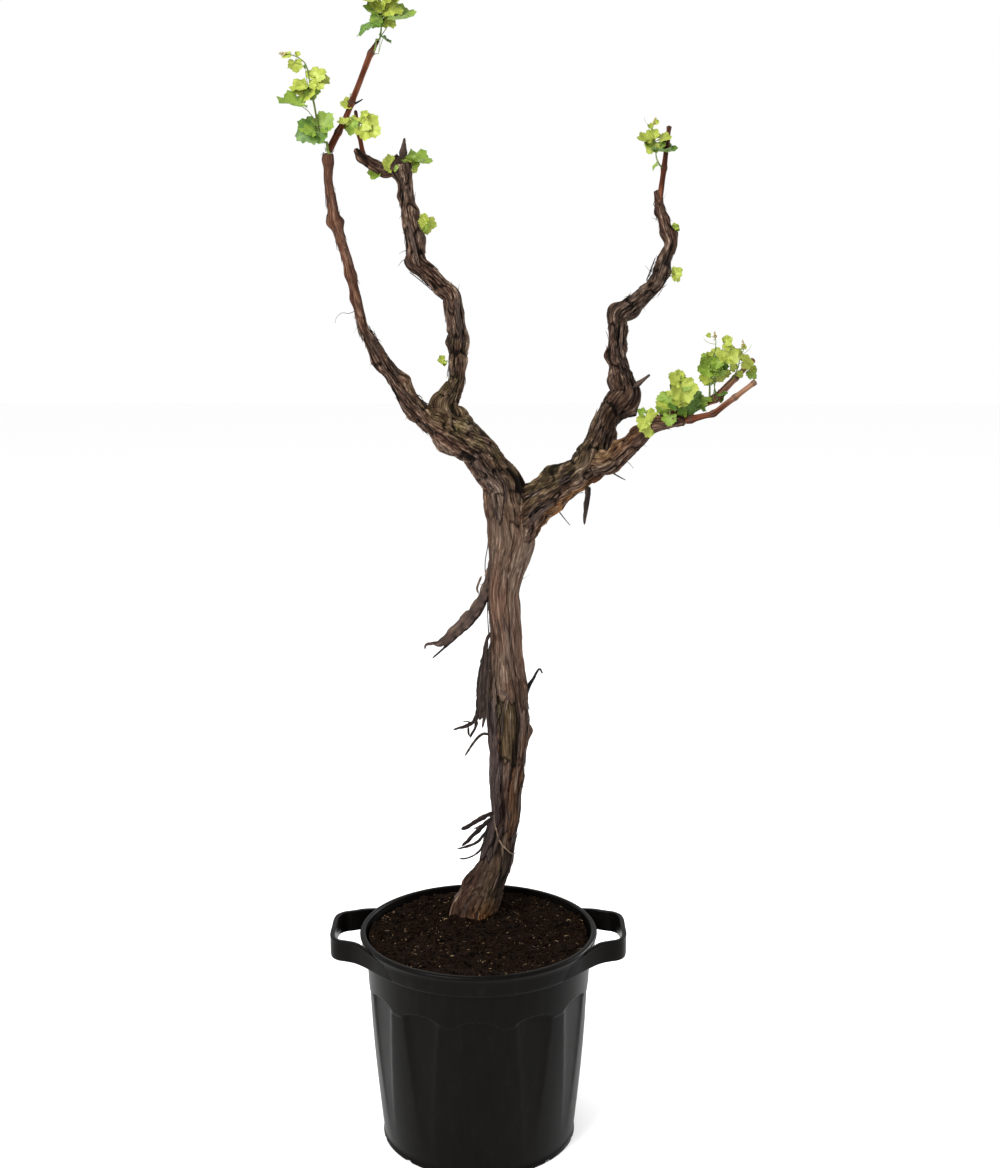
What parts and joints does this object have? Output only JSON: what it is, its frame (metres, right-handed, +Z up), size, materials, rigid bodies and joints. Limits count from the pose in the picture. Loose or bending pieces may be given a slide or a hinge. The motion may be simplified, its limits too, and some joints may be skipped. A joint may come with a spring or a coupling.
{
  "type": "potted grapevine",
  "caption": "Old bush vine with a twisted shaggy trunk, forking gnarled boughs, pruned canes and young leaf shoots, growing in a round nursery pot with two grips.",
  "frame": {"origin": "centre of the pot's flat underside", "axes": "+Z up along the pot's axis, +X to the right through one grip, +Y to the back"},
  "size_m": [0.7312, 0.4, 1.89],
  "materials": {
    "pot_plastic": "semi-gloss black moulded plastic",
    "potting_soil": "matt dark brown crumbly potting mix",
    "old_bark": "rough, furrowed grey-brown fibrous bark",
    "cane_bark": "smoother red-brown cane bark",
    "loose_bark": "dry peeling bark strips",
    "leaf": "young yellow-green leaves"
  },
  "bodies": {
    "root": {"pot": "pot_plastic", "grip_right": "pot_plastic", "grip_left": "pot_plastic", "soil": "potting_soil", "trunk": "old_bark", "bough_left": "old_bark", "bough_left_inner": "old_bark", "spur_left": "old_bark", "twig_left": "old_bark", "stub_left": "old_bark", "bough_right": "old_bark", "bough_right_upper": "old_bark", "stub_right": "old_bark", "bough_right_lower": "old_bark", "bough_left_outer": "cane_bark", "cane_left": "cane_bark", "cane_right": "cane_bark", "cane_right_low": "cane_bark", "cane_right_high": "cane_bark", "bark_strip_upper": "loose_bark", "bark_strip_middle": "loose_bark", "bark_strip_lower": "loose_bark", "bark_strip_right": "loose_bark", "leaves_left_top": "leaf", "leaves_left_side": "leaf", "leaves_left_middle": "leaf", "leaves_inner_top": "leaf", "leaves_inner_spur": "leaf", "leaves_inner_middle": "leaf", "leaves_inner_low": "leaf", "leaves_right_top": "leaf", "leaves_right_knot": "leaf", "leaves_right_bend": "leaf", "leaves_right_low": "leaf", "leaves_right_high": "leaf"}
  },
  "joints": []
}
